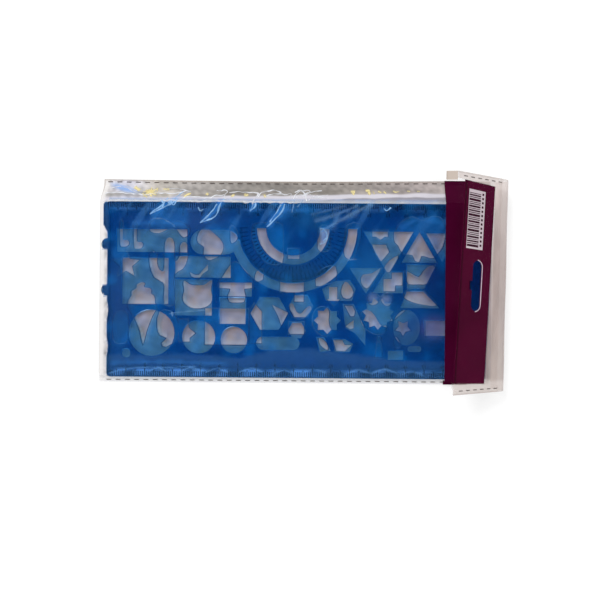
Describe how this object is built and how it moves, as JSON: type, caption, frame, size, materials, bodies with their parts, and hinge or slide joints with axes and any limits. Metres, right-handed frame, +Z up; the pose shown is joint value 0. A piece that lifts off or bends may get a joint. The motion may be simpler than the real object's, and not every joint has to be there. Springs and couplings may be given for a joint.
{
  "type": "drawing stencil set",
  "caption": "Two see-through stencils with shape cut-outs and edge scales in a flat clear film pouch that has a folded header flap, a header card and a hang slot.",
  "frame": {"origin": "under the middle of the set's box, on the surface that the pouch lies on", "axes": "+X along the pouch from its folded end to its open mouth, +Y across it, +Z up through the stencils' faces"},
  "size_m": [0.217, 0.1116, 0.0328],
  "materials": {
    "lower_stencil_plastic": "see-through blue, glossy",
    "upper_stencil_plastic": "see-through blue, glossy",
    "clear_film": "clear, glossy, softly wrinkled",
    "band_film": "satin",
    "card": "printed card, satin"
  },
  "bodies": {
    "pouch": {"pouch_lower_sheet": "clear_film", "pouch_upper_sheet": "clear_film", "mouth_band": "band_film"},
    "flap": {"flap_outer_sheet": "clear_film", "flap_inner_sheet": "clear_film"},
    "card": {"header_card": "card"},
    "lower_stencil": {"geometry_template": "lower_stencil_plastic"},
    "upper_stencil": {"figure_template": "upper_stencil_plastic"}
  },
  "joints": [
    {"name": "flap_fold", "type": "hinge", "parent": "pouch", "child": "flap", "pos_m": [0.10249, -0.00071, 0.01015], "axis": [0.0157, 0.9999, 0], "range_deg": [-35, 148], "stiffness_Nm_per_rad": 0.02, "springref_deg": 1.6},
    {"name": "header_card_slide", "type": "slide", "parent": "flap", "child": "card", "axis": [-0.8479, 0.0133, 0.5299], "range_m": [0, 0.03]},
    {"name": "lower_stencil_slide", "type": "slide", "parent": "pouch", "child": "lower_stencil", "axis": [1, 0, 0], "range_m": [0, 0.212]},
    {"name": "upper_stencil_slide", "type": "slide", "parent": "pouch", "child": "upper_stencil", "axis": [1, 0, 0], "range_m": [0, 0.212]}
  ]
}
